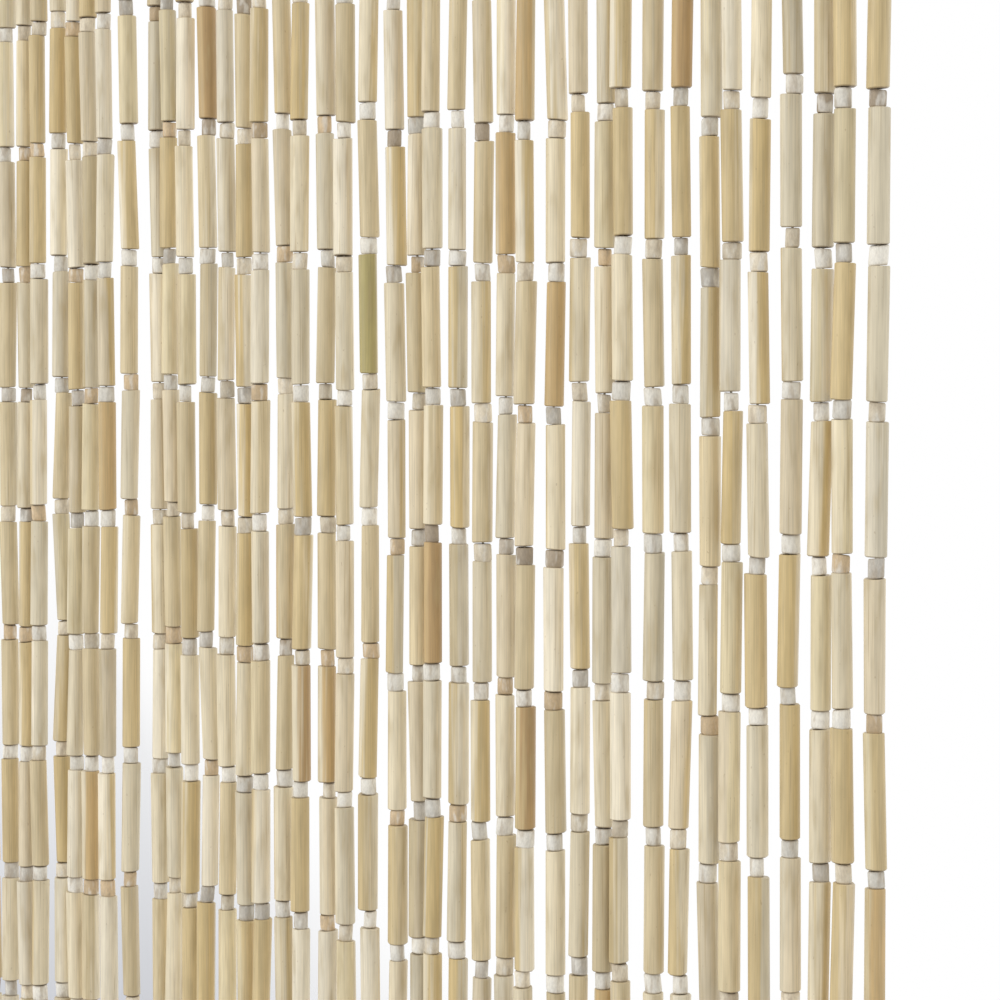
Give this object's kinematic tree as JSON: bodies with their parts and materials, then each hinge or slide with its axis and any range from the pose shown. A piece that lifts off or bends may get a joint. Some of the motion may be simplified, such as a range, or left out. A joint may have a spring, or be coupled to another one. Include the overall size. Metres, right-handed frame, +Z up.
{
  "type": "bead curtain",
  "caption": "Door curtain of strings of bamboo tubes and small pale beads, hanging side by side from a narrow wooden strip.",
  "frame": {"origin": "middle of the heading strip's top face, at the curtain's hanging edge", "axes": "+Z up along the strings, +X along the curtain's width, -Y towards the front"},
  "size_m": [0.9, 0.012, 2.0076],
  "materials": {
    "bamboo": "dry split-free bamboo in many straw, beige and olive tones, with fine lengthwise fibres and a soft satin skin",
    "pale_beads": "matt off-white pith with grey and beige marbling",
    "strip_wood": "plain pale wood, sanded and matt",
    "thread": "twisted undyed thread"
  },
  "bodies": {
    "root": {"bead_curtain": "bamboo"}
  },
  "joints": []
}
